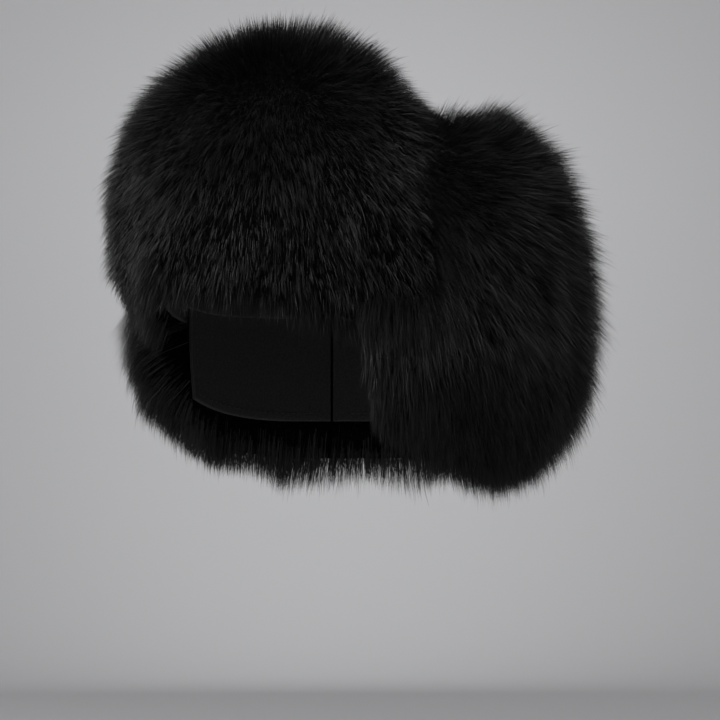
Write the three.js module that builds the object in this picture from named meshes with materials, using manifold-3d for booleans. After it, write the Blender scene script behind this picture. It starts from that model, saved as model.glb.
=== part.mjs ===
// A black fur hat of the trapper kind, worn low: a hollow crown, a turned-up front flap on the forehead,
// and two ear flaps and a neck flap that hang round the sides and back. All the outside is long fur.
// Millimetres, +Z up, front towards -Y, the wearer's left towards +X.
// The origin is the centre of the head opening, at the height of the brow.
import * as THREE from "three";
import { mergeVertices } from "three/addons/utils/BufferGeometryUtils.js";
import Module from "manifold-3d";

const wasm = await Module();
wasm.setup();

// The hollow for the head: an ellipse at the brow (a 57 cm head) under a boxy dome.
const HEAD_HALF_WIDTH = 80;
const HEAD_HALF_LENGTH = 100;
const HEAD_HEIGHT = 115;
const DOME_POWER = 2.4;
const DOME_ARC = 158; // length of the dome's profile from the brow line to the pole
const NECK_TUCK = 0.05; // how much the hanging flaps close in by FLAP_DROP below the brow
const FLAP_DROP = 63; // how far the hide of the flaps hangs below the brow line

// Layers. A lift is a distance out of the head hollow, and SEAM_GAP is more than the sag of the facets.
const SHELL_THICKNESS = 2.4;
const FLAP_THICKNESS = 2.6;
const SEAM_GAP = 1.2;
const FLAP_LIFT = SHELL_THICKNESS + SEAM_GAP;
const FRONT_LIFT = FLAP_LIFT + FLAP_THICKNESS + SEAM_GAP; // its ends lie over the ear flaps' front edges
const CROWN_LIFT = SHELL_THICKNESS + 2 * SEAM_GAP;

// Where the pieces end: azimuths from the front, in degrees, and heights along the dome's profile.
const FRONT_END = 80;
const EAR_START = 66;
const NECK_START = 128;
const SEAM_DEGREES = 0.35; // half the gap between an ear flap and the neck flap
const FRONT_BOTTOM = 10.5;
const FRONT_END_DROP = 21; // how much lower the front flap's lower edge is at its two ends
const FRONT_TOP = 128;
const BROW_RISE = 9; // how much the crown's rim rises over the brow
const SIDE_TOP = 62;
const EAR_CORNER = 14; // how much the front lower corner of an ear flap is rounded away

// Fur: lengths out of the hide at their fullest, and the locks that stand out of the underfur.
const FRONT_FUR = 50;
const SIDE_FUR = 65;
const CROWN_FUR = 20;
const SAG = 0.14; // how much the weight of the fur turns it down
const EDGE_TURN = 2; // how far the last of the fur turns down round a hide's lower edge
const UNDERFUR_SHARE = 0.88; // the dense bulk under the tips of the locks
const LOCK_ROOT_SHARE = 0.6;
const LOCK_WIDTH = 30; // at the root, inside the underfur
const LOCK_DROOP = 7;

const BLACK_FUR = { color: 0x0b0b0c, roughness: 0.55, metalness: 0 };
const BLACK_HIDE = { color: 0x17171a, roughness: 0.85, metalness: 0 };

const radians = THREE.MathUtils.degToRad;
const clamp = THREE.MathUtils.clamp;

// A point on the head hollow. Height is measured along the dome's profile, and is negative below the brow.
function hollowPoint(azimuth, height) {
  const across = radians(azimuth);
  let spread = 1 - NECK_TUCK * clamp(-height / FLAP_DROP, 0, 1) ** 2;
  let z = height;
  if (height > 0) {
    const turn = (Math.min(height, DOME_ARC - 0.5) / DOME_ARC) * (Math.PI / 2);
    spread = Math.cos(turn) ** (2 / DOME_POWER);
    z = HEAD_HEIGHT * Math.sin(turn) ** (2 / DOME_POWER);
  }
  return new THREE.Vector3(
    HEAD_HALF_WIDTH * spread * Math.sin(across),
    -HEAD_HALF_LENGTH * spread * Math.cos(across),
    z,
  );
}

// The directions at a point of the hollow: out of it, round it and up along its profile.
function frameAt(azimuth, height) {
  const step = 0.5;
  const level = Math.min(height, DOME_ARC - 3 * step);
  const round = hollowPoint(azimuth + step, level)
    .sub(hollowPoint(azimuth - step, level))
    .normalize();
  const up = hollowPoint(azimuth, level + step)
    .sub(hollowPoint(azimuth, level - step))
    .normalize();
  return { out: round.clone().cross(up).normalize(), round, up };
}

function liftedPoint(azimuth, height, lift) {
  return hollowPoint(azimuth, height).addScaledVector(
    frameAt(azimuth, height).out,
    lift,
  );
}

// Each patch maps s from 0 to 1 round the head and t from 0 to 1 up the profile to an azimuth and a height.
// lean gives how far the fur leans round the head and up the profile, as shares of how far it stands out.
const patches = {
  front: {
    lift: FRONT_LIFT,
    azimuths: [-FRONT_END, FRONT_END],
    heights: (s) => {
      const aside = Math.abs(2 * s - 1);
      return [FRONT_BOTTOM - FRONT_END_DROP * aside ** 2, FRONT_TOP];
    },
    lean: (s, t) => {
      const aside = 2 * s - 1;
      const turnedDown = 0.9 * (1 - t) ** 3 + EDGE_TURN * (1 - t) ** 20;
      return [0.1 * aside + 0.75 * aside ** 3, 0.7 * t ** 4 - turnedDown * (1 - 0.7 * aside ** 4)];
    },
    furLength: (s, t) => {
      const aside = 2 * s - 1;
      const rise = (0.24 - 0.5 * aside ** 4) * t ** 3;
      const brow = (0.45 * (1 - t) ** 2 + 0.25 * (1 - t) ** 12) * (1 - 0.8 * aside ** 4);
      return FRONT_FUR * (1 - brow + rise) * (1 - 0.25 * aside ** 6 * t ** 2);
    },
  },
  earLeft: {
    lift: FLAP_LIFT,
    azimuths: [EAR_START, NECK_START - SEAM_DEGREES],
    heights: (s) => [-FLAP_DROP + EAR_CORNER * (1 - s) ** 3, SIDE_TOP],
    lean: (s, t) => {
      const turned = 0.3 + 0.5 * clamp(t / 0.5, 0, 1);
      return [-turned * (1 - s) ** 4, sideLean(t) - 0.45 * (1 - s) ** 3 * (1 - t ** 3)];
    },
    furLength: (s, t) => {
      const forward = 1 - s;
      const corner = 0.2 * forward ** 8 + 0.42 * forward ** 2 * (1 - t) ** 3 + 0.35 * forward * t ** 4;
      return sideLength(t) * (1 - corner);
    },
  },
  neck: {
    lift: FLAP_LIFT,
    azimuths: [NECK_START + SEAM_DEGREES, 360 - NECK_START - SEAM_DEGREES],
    heights: () => [-FLAP_DROP, SIDE_TOP],
    lean: (s, t) => [0, sideLean(t)],
    furLength: (s, t) => sideLength(t),
  },
};
patches.earRight = {
  lift: FLAP_LIFT,
  azimuths: [-NECK_START + SEAM_DEGREES, -EAR_START],
  heights: (s) => patches.earLeft.heights(1 - s),
  lean: (s, t) => {
    const [leanRound, leanUp] = patches.earLeft.lean(1 - s, t);
    return [-leanRound, leanUp];
  },
  furLength: (s, t) => patches.earLeft.furLength(1 - s, t),
};

// The fur of the hanging flaps stands up along their top edge and hangs down along their bottom edge.
function sideLean(t) {
  return 1.2 * t ** 3.4 - 1.75 * (1 - t) ** 10 - EDGE_TURN * (1 - t) ** 40;
}

function sideLength(t) {
  return SIDE_FUR * (1 - 0.3 * (1 - t) ** 8 - 0.18 * t ** 8);
}

// The crown's rim rises a little over the brow.
function rimHeight(azimuth) {
  return BROW_RISE * Math.max(Math.cos(radians(azimuth)), 0) ** 2;
}

function placeOn(patch, s, t) {
  const [from, to] = patch.azimuths;
  const [low, high] = patch.heights(s);
  return {
    azimuth: from + (to - from) * s,
    height: low + (high - low) * t,
  };
}

// The direction of the fur: out of the hide, fanned at the patch's edges, with a little sag.
function furDirection(patch, s, t) {
  const { azimuth, height } = placeOn(patch, s, t);
  const { out, round, up } = frameAt(azimuth, height);
  const [leanRound, leanUp] = patch.lean(s, t);
  out.addScaledVector(round, leanRound).addScaledVector(up, leanUp);
  out.z -= SAG;
  return out.normalize();
}

function furPoint(patch, s, t, share) {
  const { azimuth, height } = placeOn(patch, s, t);
  const hide = patch.lift + FLAP_THICKNESS + SEAM_GAP;
  return liftedPoint(azimuth, height, hide).addScaledVector(
    furDirection(patch, s, t),
    share * patch.furLength(s, t),
  );
}

function geometryOf(points, triangles) {
  const geometry = new THREE.BufferGeometry();
  geometry.setAttribute(
    "position",
    new THREE.Float32BufferAttribute(points.flatMap((p) => [p.x, p.y, p.z]), 3),
  );
  geometry.setIndex(triangles.flat());
  return geometry;
}

// A closed slab between two grids of points, inner(s, t) and outer(s, t).
function slabGeometry(columns, rows, inner, outer) {
  const points = [];
  for (const surface of [inner, outer]) {
    for (let j = 0; j <= rows; j++) {
      for (let i = 0; i <= columns; i++) points.push(surface(i / columns, j / rows));
    }
  }
  const at = (layer, i, j) => (layer * (rows + 1) + j) * (columns + 1) + i;
  const triangles = [];
  const quad = (a, b, c, d) => triangles.push([a, b, c], [a, c, d]);
  for (let j = 0; j < rows; j++) {
    for (let i = 0; i < columns; i++) {
      quad(at(1, i, j), at(1, i + 1, j), at(1, i + 1, j + 1), at(1, i, j + 1));
      quad(at(0, i, j), at(0, i, j + 1), at(0, i + 1, j + 1), at(0, i + 1, j));
    }
  }
  for (let i = 0; i < columns; i++) {
    quad(at(0, i, 0), at(0, i + 1, 0), at(1, i + 1, 0), at(1, i, 0));
    quad(at(0, i, rows), at(1, i, rows), at(1, i + 1, rows), at(0, i + 1, rows));
  }
  for (let j = 0; j < rows; j++) {
    quad(at(0, 0, j), at(1, 0, j), at(1, 0, j + 1), at(0, 0, j + 1));
    quad(at(0, columns, j), at(0, columns, j + 1), at(1, columns, j + 1), at(1, columns, j));
  }
  return geometryOf(points, triangles);
}

// A closed bowl between two surfaces of azimuth and share, open at its rim, with a pole at share 1.
function bowlGeometry(columns, rows, inner, outer) {
  const points = [];
  for (const surface of [inner, outer]) {
    for (let j = 0; j < rows; j++) {
      for (let i = 0; i < columns; i++) points.push(surface((360 * i) / columns, j / rows));
    }
    points.push(surface(0, 1));
  }
  const layerSize = rows * columns + 1;
  const at = (layer, i, j) =>
    layer * layerSize + (j === rows ? rows * columns : j * columns + (i % columns));
  const triangles = [];
  for (let i = 0; i < columns; i++) {
    for (let j = 0; j < rows; j++) {
      triangles.push([at(1, i, j), at(1, i + 1, j), at(1, i + 1, j + 1)]);
      triangles.push([at(0, i, j), at(0, i + 1, j + 1), at(0, i + 1, j)]);
      if (j === rows - 1) continue;
      triangles.push([at(1, i, j), at(1, i + 1, j + 1), at(1, i, j + 1)]);
      triangles.push([at(0, i, j), at(0, i, j + 1), at(0, i + 1, j + 1)]);
    }
    triangles.push([at(0, i, 0), at(0, i + 1, 0), at(1, i + 1, 0)]);
    triangles.push([at(0, i, 0), at(1, i + 1, 0), at(1, i, 0)]);
  }
  return geometryOf(points, triangles);
}

// A lock of fur: a three-sided taper from a wide root inside the underfur to a point.
function lockGeometry(root, tip, width, across) {
  const axis = tip.clone().sub(root).normalize();
  const side = across.clone().addScaledVector(axis, -across.dot(axis)).normalize();
  const other = axis.clone().cross(side);
  const corners = [90, 210, 330].map((turn) =>
    root
      .clone()
      .addScaledVector(side, (width / 2) * Math.cos(radians(turn)))
      .addScaledVector(other, (width / 2) * Math.sin(radians(turn))),
  );
  return geometryOf([...corners, tip], [
    [0, 2, 1],
    [0, 1, 3],
    [1, 2, 3],
    [2, 0, 3],
  ]);
}

function solidOf(geometry) {
  const bare = new THREE.BufferGeometry();
  bare.setAttribute("position", geometry.getAttribute("position"));
  bare.setIndex(geometry.index);
  const merged = mergeVertices(bare, 1e-4);
  return new wasm.Manifold(
    new wasm.Mesh({
      numProp: 3,
      vertProperties: merged.getAttribute("position").array,
      triVerts: new Uint32Array(merged.index.array),
    }),
  );
}

function geometryFromSolid(solid) {
  const mesh = solid.getMesh();
  const points = new Float32Array(mesh.numVert * 3);
  for (let i = 0; i < mesh.numVert; i++) {
    points.set(mesh.vertProperties.subarray(i * mesh.numProp, i * mesh.numProp + 3), i * 3);
  }
  const geometry = new THREE.BufferGeometry();
  geometry.setAttribute("position", new THREE.BufferAttribute(points, 3));
  geometry.setIndex(new THREE.BufferAttribute(mesh.triVerts, 1));
  geometry.computeVertexNormals();
  return geometry;
}

// A cut may part the tip of a lock from its pelt: only the pelt is kept.
function largestBody(solid) {
  const bodies = solid.decompose();
  return bodies.reduce((best, body) => (body.volume() > best.volume() ? body : best));
}

// A small repeatable scatter, so that the locks don't stand in ranks.
let scatterState = 7;
function scatter() {
  scatterState = (scatterState * 16807) % 2147483647;
  return scatterState / 2147483647 - 0.5;
}

function furSolid(patch, columns, rows, lockColumns, lockRows) {
  const inner = (s, t) => furPoint(patch, s, t, 0);
  const outer = (s, t) => furPoint(patch, s, t, UNDERFUR_SHARE);
  const parts = [solidOf(slabGeometry(columns, rows, inner, outer))];
  for (let j = 0; j < lockRows; j++) {
    const stagger = j % 2 ? 0.25 : -0.25;
    for (let i = 0; i < lockColumns; i++) {
      const s = clamp((i + 0.5 + stagger + 0.4 * scatter()) / lockColumns, 0.01, 0.99);
      const t = clamp((j + 0.5 + 0.5 * scatter()) / lockRows, 0.01, 0.99);
      const root = furPoint(patch, s, t, LOCK_ROOT_SHARE);
      const tip = furPoint(patch, s, t, 1 + 0.12 * scatter());
      tip.z -= LOCK_DROOP;
      const { azimuth, height } = placeOn(patch, s, t);
      const lock = lockGeometry(root, tip, LOCK_WIDTH, frameAt(azimuth, height).round);
      parts.push(solidOf(lock));
    }
  }
  return wasm.Manifold.union(parts);
}

// Zones that part the pelts where their fur would meet. FUR_GAP stays between two zones.
const FUR_GAP = 0.8;
const ZONE_REACH = 260;
const ZONE_FLOOR = -17;
const FRONT_FLARE = 14; // how far the front fur leans back over the ear flaps, in degrees
const NECK_FLARE = -6; // the seam of the ear and neck furs is square to the hide

// A zone in front of an azimuth: in plan a wedge with its apex over the origin, whose sides turn back by
// flare degrees once they are out of the hide.
function wedgeZone(azimuth, flare, margin, floor) {
  const corner = liftedPoint(azimuth, 0, FRONT_LIFT);
  const flared = radians(azimuth + flare);
  const outline = [
    [0, margin],
    [corner.x, corner.y + margin],
    [corner.x + ZONE_REACH * Math.sin(flared), corner.y + margin - ZONE_REACH * Math.cos(flared)],
    [2 * ZONE_REACH, -2 * ZONE_REACH],
  ];
  const mirrored = outline.slice(1).reverse().map(([x, y]) => [-x, y]);
  const shape = new THREE.Shape([...outline, ...mirrored].map(([x, y]) => new THREE.Vector2(x, y)));
  const geometry = new THREE.ExtrudeGeometry(shape, { depth: ZONE_REACH - floor, bevelEnabled: false });
  geometry.translate(0, 0, floor);
  return solidOf(geometry);
}

// A zone inside an ellipse round the dome at a height on it, up to ZONE_REACH, narrowing as it rises.
function domeZone(height, narrowing, margin) {
  const side = liftedPoint(90, height, FLAP_LIFT);
  const rear = liftedPoint(180, height, FLAP_LIFT);
  const rise = 80;
  const profile = [
    [0, -20],
    [1, -20],
    [1, 0],
    [narrowing, rise],
    [narrowing, ZONE_REACH],
    [0, ZONE_REACH],
  ].map(([r, z]) => new THREE.Vector2(r, z));
  const geometry = new THREE.LatheGeometry(profile, 32);
  geometry.rotateX(Math.PI / 2);
  geometry.scale(side.x + margin, rear.y + margin, 1);
  geometry.translate(0, 0, side.z);
  return solidOf(geometry);
}

function addMesh(group, name, geometry, look) {
  const mesh = new THREE.Mesh(geometry, new THREE.MeshStandardMaterial(look));
  mesh.name = name;
  group.add(mesh);
}

const hat = new THREE.Group();

// The crown, hollow and open below.
const domeHeight = (from, share) => from + (DOME_ARC - from) * share;
addMesh(
  hat,
  "crown_shell",
  bowlGeometry(
    32,
    10,
    (azimuth, share) => liftedPoint(azimuth, domeHeight(rimHeight(azimuth), share), 0),
    (azimuth, share) => liftedPoint(azimuth, domeHeight(rimHeight(azimuth), share), SHELL_THICKNESS),
  ),
  BLACK_HIDE,
);

// The flaps, each one panel.
const flapPanels = [
  ["front_flap", patches.front, 14, 6],
  ["ear_flap_left", patches.earLeft, 6, 7],
  ["ear_flap_right", patches.earRight, 6, 7],
  ["neck_flap", patches.neck, 9, 7],
];
for (const [name, patch, columns, rows] of flapPanels) {
  const layer = (lift) => (s, t) => {
    const { azimuth, height } = placeOn(patch, s, t);
    return liftedPoint(azimuth, height, lift);
  };
  addMesh(
    hat,
    name,
    slabGeometry(columns, rows, layer(patch.lift), layer(patch.lift + FLAP_THICKNESS)),
    BLACK_HIDE,
  );
}

// The crown's pelt: short fur on the back and top, from the hanging flaps' top edges to the pole.
function crownFurPoint(azimuth, share, furShare) {
  const height = domeHeight(SIDE_TOP + SEAM_GAP, share);
  const { out, up } = frameAt(azimuth, height);
  const direction = out.addScaledVector(up, 0.9 * (1 - share) ** 3).normalize();
  return liftedPoint(azimuth, height, CROWN_LIFT).addScaledVector(direction, furShare * CROWN_FUR);
}

function crownFurSolid() {
  const layer = (furShare) => (azimuth, share) => crownFurPoint(azimuth, share, furShare);
  const parts = [solidOf(bowlGeometry(28, 5, layer(0), layer(UNDERFUR_SHARE)))];
  const rings = 4;
  for (let j = 0; j < rings; j++) {
    const count = 18 - 4 * j;
    for (let i = 0; i < count; i++) {
      const azimuth = (360 * (i + 0.5 + 0.5 * scatter())) / count;
      const share = (j + 0.4 + 0.3 * scatter()) / rings;
      const root = crownFurPoint(azimuth, share, LOCK_ROOT_SHARE);
      const tip = crownFurPoint(azimuth, share, 1 + 0.12 * scatter());
      parts.push(solidOf(lockGeometry(root, tip, LOCK_WIDTH, frameAt(azimuth, 0).round)));
    }
  }
  return wasm.Manifold.union(parts);
}

// The pelts' zones, each grown by a margin, or shrunk by a negative one.
const half = FUR_GAP / 2;
const aroundPole = (margin) => domeZone(FRONT_TOP + 4, 0.55, margin);
const insideSides = (margin) => domeZone(SIDE_TOP, 1, margin);
const frontZone = (margin) =>
  wedgeZone(FRONT_END, FRONT_FLARE, margin, ZONE_FLOOR - margin).subtract(aroundPole(-margin));
const earZone = (margin) => wedgeZone(NECK_START, NECK_FLARE, margin, -ZONE_REACH);

// The pelts.
const crownFur = crownFurSolid().intersect(insideSides(-half)).subtract(frontZone(half));
addMesh(hat, "crown_fur", geometryFromSolid(largestBody(crownFur)), BLACK_FUR);

const frontFur = furSolid(patches.front, 14, 6, 15, 9).intersect(frontZone(-half));
addMesh(hat, "front_flap_fur", geometryFromSolid(largestBody(frontFur)), BLACK_FUR);
for (const [name, patch] of [
  ["ear_flap_left_fur", patches.earLeft],
  ["ear_flap_right_fur", patches.earRight],
]) {
  const earFur = furSolid(patch, 6, 7, 6, 8);
  const trimmed = earFur.subtract(insideSides(half)).subtract(frontZone(half)).intersect(earZone(-half));
  addMesh(hat, name, geometryFromSolid(largestBody(trimmed)), BLACK_FUR);
}
const neckFur = furSolid(patches.neck, 9, 7, 9, 8).subtract(insideSides(half)).subtract(earZone(half));
addMesh(hat, "neck_flap_fur", geometryFromSolid(largestBody(neckFur)), BLACK_FUR);

export default hat;
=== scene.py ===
# A black fur trapper hat with its flaps down, held up as a head holds it.
# Metres, +Z up, front towards -Y, the wearer's left towards +X, origin at the centre of the head opening.
import math

import bpy
import numpy as np
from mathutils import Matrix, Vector


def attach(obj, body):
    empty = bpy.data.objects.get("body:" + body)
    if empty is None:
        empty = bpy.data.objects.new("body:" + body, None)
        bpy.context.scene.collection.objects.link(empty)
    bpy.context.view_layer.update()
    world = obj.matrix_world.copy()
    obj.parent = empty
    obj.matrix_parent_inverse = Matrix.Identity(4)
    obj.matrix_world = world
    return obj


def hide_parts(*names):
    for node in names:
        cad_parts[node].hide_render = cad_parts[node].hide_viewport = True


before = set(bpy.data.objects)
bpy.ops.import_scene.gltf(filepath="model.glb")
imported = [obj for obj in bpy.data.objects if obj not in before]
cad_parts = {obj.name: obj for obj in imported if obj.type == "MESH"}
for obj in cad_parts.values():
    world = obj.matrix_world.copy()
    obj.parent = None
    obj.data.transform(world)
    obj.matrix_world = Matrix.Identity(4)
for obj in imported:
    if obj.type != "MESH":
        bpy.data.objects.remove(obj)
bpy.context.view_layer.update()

# The head hollow, as in the part: an ellipse at the brow under a boxy dome.
HEAD_HALF_WIDTH = 0.080
HEAD_HALF_LENGTH = 0.100
HEAD_HEIGHT = 0.115
DOME_POWER = 2.4
DOME_ARC = 0.158
DOME_END = 0.996  # the share of the arc where the dome's profile stops, just short of its apex
APEX_MARGIN = 0.002  # directions are taken at least this far below the end of the arc
NECK_TUCK = 0.05
FLAP_DROP = 0.063

# Layers, as distances out of the head hollow.
SHELL_THICKNESS = 0.0024
FLAP_THICKNESS = 0.0026
SEAM_GAP = 0.0012
FLAP_LIFT = SHELL_THICKNESS + SEAM_GAP
FRONT_LIFT = FLAP_LIFT + FLAP_THICKNESS + SEAM_GAP

# Where the pieces end: azimuths in degrees, heights along the dome's profile.
FRONT_END = 80
EAR_START = 66
NECK_START = 128
SEAM_DEGREES = 0.35
FRONT_BOTTOM = 0.0105
FRONT_END_DROP = 0.021
FRONT_TOP = 0.128
BROW_RISE = 0.009
SIDE_TOP = 0.062
CROWN_FUR_GAP = 0.001
EAR_CORNER = 0.014

# Fur at its fullest, and how it lies.
FRONT_FUR = 0.050
SIDE_FUR = 0.065
CROWN_FUR = 0.020
SAG = 0.14
EDGE_TURN = 2.0  # how far the last hairs turn down round a hide's lower edge
BEND_SHARE = 0.45  # of a hair's length that follows the way its tip points
FRONT_WHORL = np.array([0, -0.048, 0.130])  # the front flap's hairs point away from here
FRONT_COMB = 1.8  # and up or down more than that
CROWN_COMBED = np.array([0, 0.5, -0.2])

# The slopes of the tips on the sides and the back, in degrees.
HANGING_SLOPE = -76  # at the hide's bottom
EAR_SLOPE = -25  # how much steeper they hang next to the face
STEEPEST_SLOPE = -85

# Combing: how far a hair is moved along the coat and out of it, in shares of its length.
COMBED_BEND = (0.06, 0.08)
COMBED_TIP = (0.22, 0.035)

# The dense underfur.
UNDERCOAT = 0.75  # how far up the hairs it reaches, as a share of their length
UNDERCOAT_POWER = 12  # how close to its edges it keeps its full depth
UNDERCOAT_RIPPLE = 0.03
UNDERCOAT_RIPPLE_SIZE = 0.02
UNDERCOAT_STEPS = (48, 32)
UNCOVERED_DEGREES = 6  # it thickens over this angle past the front flap's end
UNCOVERED_HEIGHT = 0.008  # and over this height below its corner

# Where hairs grow: the least and the most of them, against a patch's mean density.
LEAST_DENSITY = 0.3
MOST_DENSITY = 4
CANDIDATES = 8  # places tried for each place that is taken
PLACE_STEP = 0.01
PLACE_NUDGE = 0.002
UNDER_FRONT_REACH = 0.016  # how far the ear flaps' hairs grow up behind the front flap's corner
FRONT_TOP_MARGIN = 0.003

# Hairs, in small clumps. Spreads are shares of a hair's length where nothing else is said.
HAIR_REACH = (0.9, 1.0)
GUARD_REACH = (0.98, 1.07)
HAIR_START = (0.82, 0.97)  # where a hair leaves the underfur, as a share of the underfur's depth
SWELL, SWELL_SIZE, SWELL_SEED = 0.05, 0.03, 5
SWIRL, SWIRL_SIZE, SWIRL_SEED = 0.065, 0.024, 21
CLUMP_SIZE = 2
CLUMP_RADIUS = 0.0006
CLUMP_SPREAD = (0.6, 1.1, 0.4)  # how many radii wide a clump is at the root, the bend and the tip
CLUMP_STRAY = 0.036
HAIR_STRAY = 0.012
HAIR_SHORTER = 0.1  # a hair is up to this much shorter than its clump

# A hair's strip: the shares of its way where its rungs and its tip are, and how wide its rungs are.
STATIONS = np.array([0, 0.6, 1])
GIRTHS = np.array([1, 0.6])
HAIR_WIDTH = 0.00023
HAIR_WIDTHS = (0.7, 1.3)  # the finest and the widest hair, against that width

# The hairs' map: tone across, from 0 to 1 round a middle of 0.5, and the way along the hair upwards.
CLUMP_TONE = 0.11
HAIR_TONE = 0.1
TONE_LIMITS = (0.02, 0.98)
STRIP_ON_MAP = 0.008
MAP_MARGIN = 0.01

# The hide walls: the rounded rim, and the crown's steps round and up.
RIM_RADIUS = FLAP_THICKNESS / 2
RIM_STEPS = np.array([0, 0.08, 0.3, 0.65, 1.0])
CROWN_STEPS = (96, 44)

# Hem stitches. A stitch is rings along it, each with its place, its girth and its shift out of the hollow.
STITCH_LENGTH = 0.0026
STITCH_PITCH = 0.0040
STITCH_AHEAD = 0.0005  # its direction is taken over this distance
THREAD_RADIUS = 0.00028
SEAM_INSET = 0.005
SEAM_SAMPLES = 400
STITCH_SIDES = 6
STITCH_RINGS = np.array(
    [
        [-0.5, 0.3, 0.2],
        [-0.3, 0.9, -0.5],
        [0, 1, -0.9],
        [0.3, 0.9, -0.5],
        [0.5, 0.3, 0.2],
    ]
)

# The studio: a round sweep of pale floor and wall.
FLOOR = -0.45
SWEEP_RADIUS = 2.9
SWEEP_BEND = 0.6
SWEEP_HEIGHT = 2.6
SWEEP_AROUND = 96
BEND_STEPS = 12
SKY_STRENGTH = 0.3

# The camera stands on the photograph's side.
CAMERA_AZIMUTH = 47
CAMERA_DISTANCE = 1.5
CAMERA_HEIGHT = -0.05
LENS = 127.5  # in millimetres, as the sensor's width is
SENSOR_WIDTH = 36
AIM_RIGHT = 0.0176  # the hat's origin lies left of the picture's centre
AIM_UP = -0.0265

# Lights: name, azimuth past the camera's, elevation, distance, size, power, whether it faces outwards.
LIGHTS = [
    ("key", -40, 50, 1.7, 0.9, 15, False),
    ("left_rim", -120, 25, 1.7, 0.9, 8, False),
    ("right_rim", 110, 50, 1.7, 0.9, 4, False),
    ("wall", 180, 8, 1.9, 0.5, 4.5, True),
]


def unit(v):
    return v / np.maximum(np.linalg.norm(v, axis=-1, keepdims=True), 1e-12)


def column(values):
    return np.asarray(values)[..., None]


def half_turn(azimuth):
    """The azimuth between -180 and 180."""
    return (azimuth + 180) % 360 - 180


def hollow_point(azimuth, height):
    """Points of the head hollow. Height runs along the dome's profile and is negative below the brow."""
    across = np.radians(azimuth)
    turn = np.clip(height / DOME_ARC, 0, DOME_END) * np.pi / 2
    below = 1 - NECK_TUCK * np.clip(-height / FLAP_DROP, 0, 1) ** 2
    spread = np.where(height > 0, np.cos(turn) ** (2 / DOME_POWER), below)
    z = np.where(height > 0, HEAD_HEIGHT * np.sin(turn) ** (2 / DOME_POWER), height)
    x = HEAD_HALF_WIDTH * spread * np.sin(across)
    y = -HEAD_HALF_LENGTH * spread * np.cos(across)
    return np.stack([x, y, z], -1)


def directions(azimuth, height):
    """Out of the hollow, round it and up its profile, at each point."""
    level = np.minimum(height, DOME_ARC - APEX_MARGIN)
    turn, rise = 0.5, 0.0005
    around = unit(hollow_point(azimuth + turn, level) - hollow_point(azimuth - turn, level))
    up = unit(hollow_point(azimuth, level + rise) - hollow_point(azimuth, level - rise))
    return unit(np.cross(around, up)), around, up


def lifted_point(azimuth, height, lift):
    out, _, _ = directions(azimuth, height)
    return hollow_point(azimuth, height) + out * lift


class Patch:
    """A flap: s runs from 0 to 1 round the head, t from 0 to 1 up the profile.

    Hairs grow by lean, length and tip_way. The two numbers of free say where s ends at an edge, as 1,
    and where the fur runs on past it, as 0.
    """

    def __init__(
        self, lift, azimuths, heights, lean=None, length=None, tip_way=None, free=(1, 1), under_front=False
    ):
        self.lift, self.azimuths, self.heights = lift, azimuths, heights
        self.lean, self.length, self.tip_way = lean, length, tip_way
        self.free, self.under_front = free, under_front

    def place(self, s, t):
        start, end = self.azimuths
        low, high = self.heights(s)
        return start + (end - start) * s, low + (high - low) * t

    def skin(self, s, t, depth):
        """Points of the hide: depth 0 is its inner face and 1 its outer face."""
        azimuth, height = self.place(np.asarray(s), np.asarray(t))
        return lifted_point(azimuth, height, self.lift + FLAP_THICKNESS * depth)

    def width(self, t):
        """How long the inner face is round the head at t, taken from a thousandth of it."""
        return np.linalg.norm(self.skin(0.5, t, 0) - self.skin(0.501, t, 0)) * 1000

    def height(self):
        return np.ptp(self.heights(np.array(0.5)))

    def hair(self, s, t, grown=1.0):
        """A hair's root, its bend and its tip, for a hair of that share of the full length."""
        azimuth, height = self.place(s, t)
        out, around, up = directions(azimuth, height)
        lean_round, lean_up = self.lean(s, t)
        way = out + around * column(lean_round) + up * column(lean_up)
        way[..., 2] -= SAG
        length = column(self.length(s, t) * grown)
        root = self.skin(s, t, 1)
        tip = root + unit(way) * length
        return root, tip - self.tip_way(tip, unit(way), s, t) * length * BEND_SHARE, tip


def sloped(way, degrees):
    """The same compass direction at another slope."""
    level = unit(way * [1, 1, 0])
    slope = column(np.radians(degrees))
    return level * np.cos(slope) + np.array([0, 0, 1]) * np.sin(slope)


def front_tip_way(tip, way, s, t):
    return unit((tip - FRONT_WHORL) * [1, 1, FRONT_COMB])


def side_slope(t):
    """The slope of the side hairs' tips: hanging at the hide's bottom, rising at its top."""
    return HANGING_SLOPE + 20 * t + 60 * t**2 + 50 * t**3


def neck_tip_way(tip, way, s, t):
    return sloped(way, side_slope(t))


def ear_tip_way(tip, way, s, t):
    return sloped(way, np.maximum(side_slope(t) + EAR_SLOPE * (1 - s) ** 2, STEEPEST_SLOPE))


def crown_tip_way(tip, way, s, t):
    return unit(way + CROWN_COMBED)


def brow_rise(azimuth):
    """How high the crown's rim runs: it rises a little over the brow."""
    return BROW_RISE * np.maximum(np.cos(np.radians(azimuth)), 0) ** 2


def front_heights(s):
    aside = np.abs(2 * s - 1)
    return FRONT_BOTTOM - FRONT_END_DROP * aside**2, FRONT_TOP + 0 * s


def front_lean(s, t):
    """The hairs turn outwards to the flap's ends, up at its top and down over the brow."""
    aside = 2 * s - 1
    low = 1 - t
    outwards = 0.1 * aside + 0.75 * aside**3 * (1 - 0.6 * t**2)
    upwards = 0.7 * t**4
    downwards = (0.9 * low**3 + EDGE_TURN * low**20) * (1 - 0.7 * aside**4)
    return outwards, upwards - downwards


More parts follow.
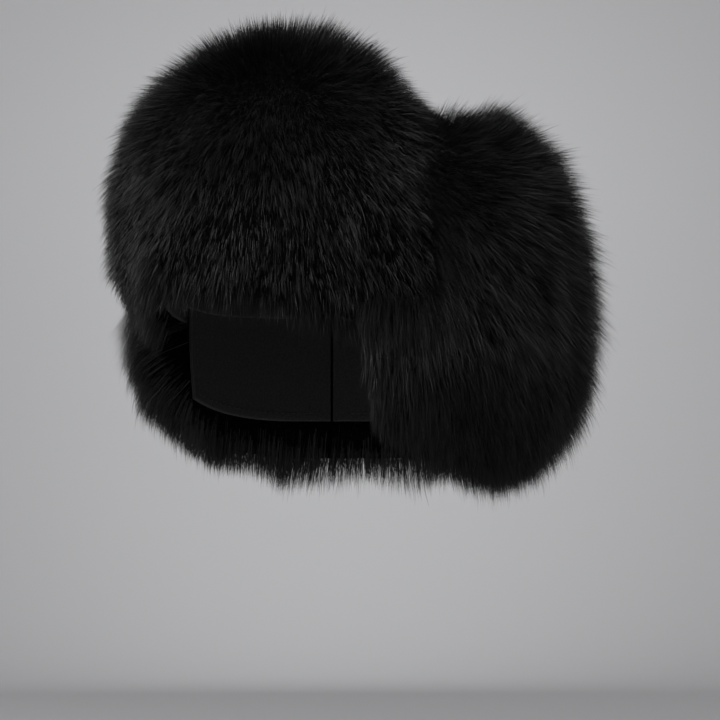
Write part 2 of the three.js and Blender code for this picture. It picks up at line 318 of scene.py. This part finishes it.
def front_length(s, t):
    """Longest high in the middle, and shorter over the brow, on the shoulders and in the upper corners."""
    aside = 2 * s - 1
    low = 1 - t
    rise = (0.22 - 0.58 * aside**4) * t**3
    brow = (0.45 * low**2 + 0.02 * low**12) * (1 - 0.8 * aside**4)
    corner = 0.25 * aside**6 * t**2
    shoulder = t**2 * (0.09 + 0.1 * aside**2 + 0.2 * aside**8)
    return FRONT_FUR * (1 - brow + rise) * (1 - corner) * (1 - shoulder)


def side_lean(t):
    """The hairs turn up at the hide's top, and down towards its lower edge."""
    low = 1 - t
    return 1.2 * t**3.4 - 1.75 * low**10 - EDGE_TURN * low**40


def side_length(t):
    """Shorter at the hide's bottom and top."""
    return SIDE_FUR * (1 - 0.3 * (1 - t) ** 8 - 0.18 * t**8)


def ear_lean(s, t):
    """Towards the face the hairs turn forwards over the hide's edge, and hang down more."""
    forward = 1 - s
    turned = 0.3 + 0.5 * np.clip(t / 0.5, 0, 1)
    return -turned * forward**4, side_lean(t) - 0.45 * forward**3 * (1 - t**3)


def ear_length(s, t):
    """Shorter towards the face, most of all at its lower corner and where the front flap covers it."""
    forward, low = 1 - s, 1 - t
    corner = 0.2 * forward**8 + 0.42 * forward**2 * low**3 + 0.35 * forward * t**4
    return side_length(t) * (1 - corner)


def ear_heights(s):
    return -FLAP_DROP + EAR_CORNER * (1 - s) ** 3, SIDE_TOP + 0 * s


def mirrored(patch):
    """The same flap on the wearer's right."""

    def lean(s, t):
        lean_round, lean_up = patch.lean(1 - s, t)
        return -lean_round, lean_up

    start, end = patch.azimuths
    return Patch(
        patch.lift,
        (-end, -start),
        lambda s: patch.heights(1 - s),
        lean,
        lambda s, t: patch.length(1 - s, t),
        lambda tip, way, s, t: patch.tip_way(tip, way, 1 - s, t),
        patch.free[::-1],
        patch.under_front,
    )


FRONT = Patch(
    FRONT_LIFT,
    (-FRONT_END, FRONT_END),
    front_heights,
    front_lean,
    front_length,
    front_tip_way,
)
EAR_LEFT = Patch(
    FLAP_LIFT,
    (EAR_START, NECK_START - SEAM_DEGREES),
    ear_heights,
    ear_lean,
    ear_length,
    ear_tip_way,
    free=(1, 0),
    under_front=True,
)
EAR_RIGHT = mirrored(EAR_LEFT)
NECK = Patch(
    FLAP_LIFT,
    (NECK_START + SEAM_DEGREES, 360 - NECK_START - SEAM_DEGREES),
    lambda s: (-FLAP_DROP + 0 * s, SIDE_TOP + 0 * s),
    lambda s, t: (0 * s, side_lean(t)),
    lambda s, t: side_length(t) + 0 * s,
    neck_tip_way,
    free=(0, 0),
)
CROWN = Patch(
    0.0,
    (-180, 180),
    lambda s: (SIDE_TOP + CROWN_FUR_GAP + 0 * s, DOME_ARC + 0 * s),
    lambda s, t: (0 * s, 0.9 * (1 - t) ** 3),
    lambda s, t: CROWN_FUR + 0 * s,
    crown_tip_way,
    free=(0, 0),
)
CROWN_WALL = Patch(0.0, (0, 360), lambda s: (brow_rise(360 * s), DOME_ARC + 0 * s))


def ripple(points, size, seed, waves=9):
    """Smooth noise from about -1 to 1: a few waves of that size in fixed random directions."""
    rng = np.random.default_rng(seed)
    ways = unit(rng.normal(size=(waves, 3))) * (2 * np.pi / size)
    return np.sin(points @ ways.T + rng.uniform(0, 2 * np.pi, waves)).mean(-1) * 2


def curve_point(root, bend, tip, share):
    return (1 - share) ** 2 * root + 2 * share * (1 - share) * bend + share**2 * tip


def link(name, mesh):
    piece = bpy.data.objects.new(name, mesh)
    bpy.context.scene.collection.objects.link(piece)
    return piece


def smooth_mesh(name, points, faces):
    mesh = bpy.data.meshes.new(name)
    mesh.from_pydata(points, [], faces)
    mesh.polygons.foreach_set("use_smooth", np.ones(len(faces), bool))
    return mesh


def slab(name, inner, outer, round_steps, up_steps):
    """A closed mesh between two grids of points."""
    columns, rows = round_steps + 1, up_steps + 1
    grid = np.arange(columns * rows).reshape(rows, columns)
    quads = np.stack([grid[:-1, :-1], grid[:-1, 1:], grid[1:, 1:], grid[1:, :-1]], -1).reshape(-1, 4)
    border = np.concatenate([grid[0, :-1], grid[:-1, -1], grid[-1, :0:-1], grid[:0:-1, 0]])
    after = np.roll(border, -1)
    count = len(inner)
    sides = np.stack([border, after, after + count, border + count], -1)[:, ::-1]
    faces = np.concatenate([quads[:, ::-1], quads + count, sides])
    return smooth_mesh(name, np.concatenate([inner, outer]).tolist(), faces.tolist())


def ring_quads(low, high):
    """The faces between closed rings of points and the rings above them."""
    return np.stack([low, np.roll(low, -1, -1), np.roll(high, -1, -1), high], -1).reshape(-1, 4)


def undercoat_share(patch, s, t):
    """How far up the hairs the underfur reaches: less at its edges, and not at all under the front flap."""
    free = np.where(s < 0.5, *patch.free)
    pillow = (1 - free * np.abs(2 * s - 1) ** UNDERCOAT_POWER) * (1 - np.abs(2 * t - 1) ** UNDERCOAT_POWER)
    if patch.under_front:
        azimuth, height = patch.place(s, t)
        beside = (np.abs(half_turn(azimuth)) - FRONT_END) / UNCOVERED_DEGREES
        below = (FRONT_BOTTOM - FRONT_END_DROP - height) / UNCOVERED_HEIGHT + 0.5
        pillow = pillow * np.clip(np.maximum(beside, below), 0, 1)
    return UNDERCOAT * np.sqrt(np.maximum(pillow, 0))


def undercoat(name, patch, seed):
    """The dense underfur: one closed lumpy body from the hide out to where single hairs part."""
    round_steps, up_steps = UNDERCOAT_STEPS
    s, t = np.meshgrid(np.linspace(0, 1, round_steps + 1), np.linspace(0, 1, up_steps + 1))
    s, t = s.ravel(), t.ravel()
    root, bend, tip = patch.hair(s, t)
    lumps = 1 + UNDERCOAT_RIPPLE * ripple(tip, UNDERCOAT_RIPPLE_SIZE, seed)
    outer = curve_point(root, bend, tip, column(undercoat_share(patch, s, t) * lumps))
    return link(name, slab(name, root, outer, round_steps, up_steps))


def beside_front(azimuth, height):
    """Whether a place on an ear flap isn't under the front flap, or no more than a little."""
    top = FRONT_BOTTOM - FRONT_END_DROP + UNDER_FRONT_REACH
    return (np.abs(half_turn(azimuth)) > FRONT_END) | (height < top)


def clear_of_front(azimuth, height):
    """Whether a place on the crown isn't behind the front flap."""
    return (np.abs(half_turn(azimuth)) > FRONT_END) | (height > FRONT_TOP + FRONT_TOP_MARGIN)


def scatter(patch, count, rng, keep):
    """Random places on a patch where keep(azimuth, height) says, by the area of the coat over each."""
    s, t = rng.uniform(size=(2, count * CANDIDATES))
    tip = patch.hair(s, t)[2]
    round_way = patch.hair(s + PLACE_STEP, t)[2] - tip
    down_way = patch.hair(s, np.maximum(t - PLACE_STEP, 0))[2] - tip
    area = np.linalg.norm(np.cross(round_way, down_way), axis=-1)
    share = LEAST_DENSITY * area.mean() + np.minimum(area, MOST_DENSITY * area.mean())
    if keep:
        share = share * keep(*patch.place(s, t))
    chosen = rng.choice(len(s), count, p=share / share.sum())
    nudge = rng.uniform(-PLACE_NUDGE, PLACE_NUDGE, (2, count))
    return np.clip(s[chosen] + nudge[0], 0, 1), np.clip(t[chosen] + nudge[1], 0, 1)


def combed(root, bend, tip, length):
    """Lays the ends of hairs along the coat, the way their tips point already."""
    out, way = unit(tip - root), unit(tip - bend)
    along = way - out * (way * out).sum(-1, keepdims=True)

    def laid(points, share_along, share_out):
        return points + (along * share_along + out * share_out) * length

    return laid(bend, *COMBED_BEND), laid(tip, *COMBED_TIP)


def grow(name, patch, hairs, seed, keep, reach):
    """Grows hairs out of a patch's undercoat, in small clumps whose tips draw together."""
    rng = np.random.default_rng(seed)
    s, t = scatter(patch, hairs // CLUMP_SIZE, rng, keep)
    root, bend, tip = patch.hair(s, t, rng.uniform(*reach, len(s)))
    length = np.linalg.norm(tip - root, axis=-1, keepdims=True)
    bend, tip = combed(root, bend, tip, length)
    swell = SWELL * column(ripple(root, SWELL_SIZE, SWELL_SEED)) * length * unit(tip - root)
    swirl = SWIRL * np.stack([ripple(root, SWIRL_SIZE, SWIRL_SEED + k) for k in range(3)], -1) * length
    tip = tip + swell + swirl + rng.normal(scale=CLUMP_STRAY, size=tip.shape) * length
    start = undercoat_share(patch, s, t) * rng.uniform(*HAIR_START, len(s))

    def each(values):
        return np.repeat(values, CLUMP_SIZE, 0)

    root, bend, tip, length, start = map(each, (root, bend, tip, length, start))
    way = unit(tip - bend)
    offset = rng.normal(scale=CLUMP_RADIUS, size=tip.shape)
    offset -= way * (offset * way).sum(-1, keepdims=True)
    at_root, at_bend, at_tip = CLUMP_SPREAD
    root, bend = root + offset * at_root, bend + offset * at_bend
    tip = tip + offset * at_tip - way * length * column(rng.uniform(0, HAIR_SHORTER, len(tip)))
    tip += rng.normal(scale=HAIR_STRAY, size=tip.shape) * length
    tone = each(rng.normal(0.5, CLUMP_TONE, len(s))) + rng.normal(0, HAIR_TONE, len(tip))
    width = rng.uniform(*HAIR_WIDTHS, len(tip)) * HAIR_WIDTH
    return hair_mesh(name, root, bend, tip, start, width, np.clip(tone, *TONE_LIMITS), rng)


def hair_mesh(name, root, bend, tip, start, width, tone, rng):
    """Joins hairs, each a tapering strip along its curve from the share where it starts to its tip."""
    count, rungs = len(root), len(STATIONS) - 1
    share = start + (1 - start) * STATIONS[:, None]
    path = curve_point(root, bend, tip, share[..., None])
    side = unit(np.cross(tip - root, rng.normal(size=root.shape))) * column(width) / 2
    edge = side * GIRTHS[:, None, None]
    pairs = np.stack([path[:-1] - edge, path[:-1] + edge], 1).reshape(2 * rungs, count, 3)
    points = np.concatenate([pairs, path[-1:]]).transpose(1, 0, 2)
    per_hair = points.shape[1]
    faces = [[2 * k, 2 * k + 1, 2 * k + 3, 2 * k + 2] for k in range(rungs - 1)]
    faces.append([per_hair - 3, per_hair - 2, per_hair - 1])
    corners = np.concatenate(faces)
    sizes = np.tile([len(face) for face in faces], count)
    vertices = (np.arange(count)[:, None] * per_hair + corners).ravel()

    mesh = bpy.data.meshes.new(name)
    mesh.vertices.add(count * per_hair)
    mesh.vertices.foreach_set("co", points.ravel())
    mesh.loops.add(len(vertices))
    mesh.loops.foreach_set("vertex_index", vertices)
    mesh.polygons.add(len(sizes))
    mesh.polygons.foreach_set("loop_start", np.concatenate([[0], np.cumsum(sizes)[:-1]]))
    mesh.polygons.foreach_set("use_smooth", np.ones(len(sizes), bool))
    mesh.update()

    # The hair's map: its tone across, and its share of the length upwards.
    across = np.append(np.tile([-STRIP_ON_MAP, STRIP_ON_MAP], rungs), 0)
    along = np.append(np.repeat(share[:-1], 2, 0), share[-1:], 0).T
    uv = np.empty((count, len(corners), 2))
    uv[..., 0] = tone[:, None] + across[corners]
    uv[..., 1] = along[:, corners] * (1 - 2 * MAP_MARGIN) + MAP_MARGIN
    mesh.uv_layers.new(name="OFBake").data.foreach_set("uv", uv.ravel())
    return link(name, mesh)


def edge_steps(length, count):
    """Shares of a length from 0 to 1, drawn together at both ends to round an edge."""
    near = RIM_STEPS * RIM_RADIUS / length
    middle = np.linspace(near[-1], 1 - near[-1], count)
    return np.concatenate([near[:-1], middle, 1 - near[-2::-1]])


def rim_round(share, length):
    """How full the wall is this near its edge: 0 at the edge itself and 1 past the rounded rim."""
    inward = np.minimum(share, 1 - share) * length
    return np.sqrt(1 - (1 - np.clip(inward / RIM_RADIUS, 0, 1)) ** 2)


def panel(patch, round_steps, up_steps):
    """A flap's hide: a smooth wall with rounded edges all round."""
    width, height = patch.width(0.5), patch.height()
    s_steps, t_steps = edge_steps(width, round_steps), edge_steps(height, up_steps)
    s, t = (grid.ravel() for grid in np.meshgrid(s_steps, t_steps))
    full = rim_round(s, width) * rim_round(t, height)
    inner = patch.skin(s, t, column(0.5 - 0.5 * full))
    outer = patch.skin(s, t, column(0.5 + 0.5 * full))
    return slab("panel", inner, outer, len(s_steps) - 1, len(t_steps) - 1)


def crown_wall():
    """The crown's hide: a smooth dome, open below, with a rounded rim."""
    around, up_steps = CROWN_STEPS
    azimuths = np.arange(around) * 360 / around
    shares = edge_steps(DOME_ARC, up_steps)[: -len(RIM_STEPS)]
    azimuth, share = (grid.ravel() for grid in np.meshgrid(azimuths, shares))
    full = rim_round(share, DOME_ARC)
    rim = brow_rise(azimuth)
    height = rim + share * (DOME_ARC - rim)
    inner, outer = (
        lifted_point(azimuth, height, column(SHELL_THICKNESS * (0.5 + side * 0.5 * full)))
        for side in (-1, 1)
    )
    grid = np.arange(2 * len(share)).reshape(2, len(shares), around)
    faces = ring_quads(grid[0, :-1], grid[0, 1:])[:, ::-1].tolist()
    faces.append(grid[0, -1, ::-1].tolist())
    faces += ring_quads(grid[1, :-1], grid[1, 1:]).tolist()
    faces.append(grid[1, -1].tolist())
    faces += ring_quads(grid[0, 0], grid[1, 0]).tolist()
    return smooth_mesh("crown_wall", np.concatenate([inner, outer]).tolist(), faces)


def stitch_body():
    """One stitch along x, thin at its ends where the thread goes into the hide."""
    turns = np.arange(STITCH_SIDES) * np.pi / 3
    points = [
        (
            place * STITCH_LENGTH,
            girth * np.cos(turn) * THREAD_RADIUS,
            (out + girth * np.sin(turn)) * THREAD_RADIUS,
        )
        for place, girth, out in STITCH_RINGS
        for turn in turns
    ]
    grid = np.arange(len(points)).reshape(-1, STITCH_SIDES)
    return np.array(points), ring_quads(grid[:-1], grid[1:])


def seam_line(patch, corners):
    """Closely spaced points just inside a patch's edge, on the face that the head touches."""
    start, end = np.array(corners[:-1], float), np.array(corners[1:], float)
    share = np.linspace(0, 1, SEAM_SAMPLES, endpoint=False)[:, None]
    line = np.concatenate([a + (b - a) * share for a, b in zip(start, end)])
    width, height = patch.width(0.1), patch.height()
    s = SEAM_INSET / width + line[:, 0] * (1 - 2 * SEAM_INSET / width)
    t = SEAM_INSET / height + line[:, 1] * (1 - 2 * SEAM_INSET / height)
    return patch.skin(s, t, 0)


def stitches(name, patch, corners):
    """Stitches at even steps along a patch's edge, from one of these corners to the next."""
    points = seam_line(patch, corners)
    walked = np.concatenate([[0], np.cumsum(np.linalg.norm(np.diff(points, axis=0), axis=1))])
    middles = np.arange(STITCH_PITCH, walked[-1] - STITCH_PITCH, STITCH_PITCH)

    def walk(distances):
        return np.stack([np.interp(distances, walked, points[:, k]) for k in range(3)], -1)

    at = walk(middles)
    along = unit(walk(middles + STITCH_AHEAD) - at)
    out = unit(np.cross(along, np.cross(at * [1, 1, 0], along)))
    side = np.cross(along, out)
    body, quads = stitch_body()
    axes = np.stack([along, side, out], 1)
    vertices = at[:, None] + np.einsum("pk,nkc->npc", body, axes)
    faces = (np.arange(len(at))[:, None, None] * len(body) + quads).reshape(-1, 4)
    return smooth_mesh(name, vertices.reshape(-1, 3).tolist(), faces.tolist())


def new_material(name):
    """A material, its nodes, its links and its shader."""
    material = bpy.data.materials.new(name)
    material.use_nodes = True
    tree = material.node_tree
    return material, tree.nodes, tree.links, tree.nodes["Principled BSDF"]


def ramp(nodes, stops):
    """A colour ramp with these stops, each a place and its colour."""
    node = nodes.new("ShaderNodeValToRGB")
    elements = node.color_ramp.elements
    while len(elements) < len(stops):
        elements.new(0.5)
    for element, (place, colour) in zip(elements, stops):
        element.position, element.color = place, (*colour, 1)
    return node


def textured(name, kind, settings, stops, roughness, bump_strength, bump_depth):
    """A material whose colour and bump follow one solid texture in the piece's own coordinates."""
    material, nodes, links, shader = new_material(name)
    shader.inputs["Roughness"].default_value = roughness
    place = nodes.new("ShaderNodeTexCoord")
    texture = nodes.new(kind)
    for socket, value in settings.items():
        texture.inputs[socket].default_value = value
    links.new(place.outputs["Object"], texture.inputs["Vector"])
    colour = ramp(nodes, stops)
    links.new(texture.outputs["Fac"], colour.inputs["Fac"])
    links.new(colour.outputs["Color"], shader.inputs["Base Color"])
    bump = nodes.new("ShaderNodeBump")
    bump.inputs["Strength"].default_value = bump_strength
    bump.inputs["Distance"].default_value = bump_depth
    links.new(texture.outputs["Fac"], bump.inputs["Height"])
    links.new(bump.outputs["Normal"], shader.inputs["Normal"])
    return material, texture, shader


def fur_material():
    """The hairs, by their map: darkest at the root, and the lighter ones among them glossier."""
    material, nodes, links, shader = new_material("black_fur")
    shader.inputs["Specular IOR Level"].default_value = 0.4
    shader.inputs["IOR"].default_value = 1.55
    place = nodes.new("ShaderNodeUVMap")
    place.uv_map = "OFBake"
    split = nodes.new("ShaderNodeSeparateXYZ")
    links.new(place.outputs["UV"], split.inputs[0])
    root, middle, tip = (0.002, 0.002, 0.002), (0.006, 0.006, 0.0065), (0.011, 0.011, 0.012)
    along = ramp(nodes, [(0, root), (0.6, middle), (1, tip)])
    links.new(split.outputs["Y"], along.inputs["Fac"])
    darker, plain, lighter = (0.5, 0.5, 0.5), (1, 1, 1), (2.2, 2.1, 2.0)
    tone = ramp(nodes, [(0, darker), (0.6, plain), (1, lighter)])
    links.new(split.outputs["X"], tone.inputs["Fac"])
    mix = nodes.new("ShaderNodeMix")
    mix.data_type, mix.blend_type = "RGBA", "MULTIPLY"
    mix.inputs["Factor"].default_value = 1
    links.new(along.outputs["Color"], mix.inputs["A"])
    links.new(tone.outputs["Color"], mix.inputs["B"])
    links.new(mix.outputs["Result"], shader.inputs["Base Color"])
    rough = nodes.new("ShaderNodeMapRange")
    rough.inputs["To Min"].default_value = 0.6
    rough.inputs["To Max"].default_value = 0.38
    links.new(split.outputs["X"], rough.inputs["Value"])
    links.new(rough.outputs["Result"], shader.inputs["Roughness"])
    return material


def underfur_material():
    """The dense underfur between the hairs: nearly black, darker than the hairs as painted shade deep in
    the coat, with a fine random mottle.
    """
    material, _, shader = textured(
        "black_underfur",
        "ShaderNodeTexNoise",
        {"Scale": 450},
        # Colours darker than the hairs' roots: painted shade deep in the coat, over the underfur's own
        # black.
        stops=[(0.35, (0.0008, 0.0008, 0.0008)), (0.7, (0.004, 0.004, 0.0042))],
        roughness=0.9,
        bump_strength=1,
        bump_depth=0.0015,
    )
    shader.inputs["Specular IOR Level"].default_value = 0.03
    return material


def hide_material():
    """The hide's suede side: matt black with a fine grain."""
    material, _, _ = textured(
        "black_hide",
        "ShaderNodeTexNoise",
        {"Scale": 900, "Detail": 4},
        stops=[(0.3, (0.010, 0.010, 0.011)), (0.7, (0.026, 0.026, 0.028))],
        roughness=0.85,
        bump_strength=0.4,
        bump_depth=0.0004,
    )
    return material


def thread_material():
    """Waxed black thread: fine plies in relief, their lighter bands of colour painted highlights where they
    catch the light.
    """
    material, plies, _ = textured(
        "black_thread",
        "ShaderNodeTexWave",
        {"Scale": 1200, "Distortion": 1.5},
        # The lighter stop is the plies' painted highlight.
        stops=[(0.2, (0.006, 0.006, 0.0065)), (0.8, (0.020, 0.020, 0.022))],
        roughness=0.45,
        bump_strength=0.5,
        bump_depth=0.0001,
    )
    plies.bands_direction = "DIAGONAL"
    return material


def floor_material():
    material, _, _, shader = new_material("pale_floor")
    shader.inputs["Base Color"].default_value = (0.62, 0.62, 0.63, 1)
    shader.inputs["Roughness"].default_value = 0.9
    return material


def sweep_profile():
    """The sweep from its centre outwards: the floor, a round bend and the wall, as radii and heights."""
    profile = [(0, FLOOR)]
    for step in range(BEND_STEPS + 1):
        turn = math.radians(90 * step / BEND_STEPS)
        radius = SWEEP_RADIUS - SWEEP_BEND * (1 - math.sin(turn))
        profile.append((radius, FLOOR + SWEEP_BEND * (1 - math.cos(turn))))
    profile.append((SWEEP_RADIUS, SWEEP_HEIGHT))
    return profile


def studio():
    """The round sweep that the hat is seen against."""
    profile, around = sweep_profile(), SWEEP_AROUND
    points = [(0, 0, FLOOR)]
    for radius, z in profile[1:]:
        for i in range(around):
            turn = 2 * math.pi * i / around
            points.append((radius * math.cos(turn), radius * math.sin(turn), z))
    faces = [(0, 1 + i, 1 + (i + 1) % around) for i in range(around)]
    for ring in range(len(profile) - 2):
        low = 1 + ring * around
        for i in range(around):
            j = (i + 1) % around
            faces.append((low + j, low + i, low + around + i, low + around + j))
    mesh = smooth_mesh("sweep", points, faces)
    sweep = link("sweep", mesh)
    mesh.materials.append(floor_material())


def on_sphere(azimuth, elevation, distance):
    a, e = math.radians(azimuth), math.radians(elevation)
    return Vector((math.sin(a) * math.cos(e), -math.cos(a) * math.cos(e), math.sin(e))) * distance


def softbox(name, azimuth, elevation, distance, size, power, outwards):
    """A square soft light that faces the hat, or outwards the wall behind it."""
    light = bpy.data.lights.new(name, "AREA")
    light.shape, light.size, light.energy = "SQUARE", size, power
    lamp = bpy.data.objects.new(name, light)
    bpy.context.scene.collection.objects.link(lamp)
    lamp.location = on_sphere(azimuth, elevation, distance)
    facing = lamp.location if outwards else -lamp.location
    lamp.rotation_euler = facing.to_track_quat("-Z", "Y").to_euler()
    lamp.visible_camera = False


def make_camera():
    camera = bpy.data.objects.new("camera", bpy.data.cameras.new("camera"))
    bpy.context.scene.collection.objects.link(camera)
    camera.data.lens, camera.data.sensor_width = LENS, SENSOR_WIDTH
    a = math.radians(CAMERA_AZIMUTH)
    camera.location = on_sphere(CAMERA_AZIMUTH, 0, CAMERA_DISTANCE) + Vector((0, 0, CAMERA_HEIGHT))
    target = Vector((math.cos(a), math.sin(a), 0)) * AIM_RIGHT + Vector((0, 0, AIM_UP))
    camera.rotation_euler = (target - camera.location).to_track_quat("-Z", "Y").to_euler()
    bpy.context.scene.camera = camera


def make_sky():
    """Even white light from all round, and colours shown as they are."""
    world = bpy.data.worlds.new("studio")
    world.use_nodes = True
    world.node_tree.nodes["Background"].inputs["Color"].default_value = (1, 1, 1, 1)
    world.node_tree.nodes["Background"].inputs["Strength"].default_value = SKY_STRENGTH
    bpy.context.scene.world = world
    bpy.context.scene.view_settings.view_transform = "Standard"


def dress(piece, node, material):
    """Gives a piece its material, hangs it on the root body, and hides the node that it stands for."""
    piece.data.materials.append(material)
    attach(piece, "root")
    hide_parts(node)


make_camera()
studio()
for name, past_camera, *placing in LIGHTS:
    softbox(name, CAMERA_AZIMUTH + past_camera, *placing)
make_sky()

FUR = fur_material()
UNDERFUR = underfur_material()
HIDE = hide_material()
THREAD = thread_material()

# Coats of fur: name, patch, the node it stands for, hairs, guard hairs, where it grows.
COATS = [
    ("front_coat", FRONT, "front_flap_fur", 66000, 17000, None),
    ("ear_coat_left", EAR_LEFT, "ear_flap_left_fur", 48000, 9500, beside_front),
    ("ear_coat_right", EAR_RIGHT, "ear_flap_right_fur", 42000, 8000, beside_front),
    ("neck_coat", NECK, "neck_flap_fur", 60000, 9500, None),
    ("crown_coat", CROWN, "crown_fur", 22000, 2000, clear_of_front),
]
FIRST_SEED = 11
GUARD_SEED = 50
for seed, (name, patch, node, hairs, guard_hairs, keep) in enumerate(COATS, FIRST_SEED):
    guard_seed = GUARD_SEED + seed
    dress(undercoat(name + "_under", patch, seed), node, UNDERFUR)
    dress(grow(name, patch, hairs, seed, keep, HAIR_REACH), node, FUR)
    dress(grow(name + "_guard", patch, guard_hairs, guard_seed, keep, GUARD_REACH), node, FUR)

# Hide walls: name, mesh, the node it stands for. A panel takes its steps round and up.
WALLS = [
    ("crown_wall", crown_wall(), "crown_shell"),
    ("front_panel", panel(FRONT, 90, 44), "front_flap"),
    ("ear_panel_left", panel(EAR_LEFT, 36, 44), "ear_flap_left"),
    ("ear_panel_right", panel(EAR_RIGHT, 36, 44), "ear_flap_right"),
    ("neck_panel", panel(NECK, 60, 44), "neck_flap"),
]
for name, mesh, node in WALLS:
    dress(link(name, mesh), node, HIDE)

# Hem stitches: name, patch, the corners that the seam runs past as s and t, the node it stands for.
SEAMS = [
    ("front_stitches", FRONT, [(0, 1), (0, 0), (1, 0), (1, 1)], "front_flap"),
    ("ear_stitches_left", EAR_LEFT, [(0, 1), (0, 0), (1, 0)], "ear_flap_left"),
    ("ear_stitches_right", EAR_RIGHT, [(0, 0), (1, 0), (1, 1)], "ear_flap_right"),
    ("neck_stitches", NECK, [(0, 0), (1, 0)], "neck_flap"),
    ("crown_stitches", CROWN_WALL, [(0, 0), (1, 0)], "crown_shell"),
]
for name, patch, corners, node in SEAMS:
    dress(link(name, stitches(name, patch, corners)), node, THREAD)
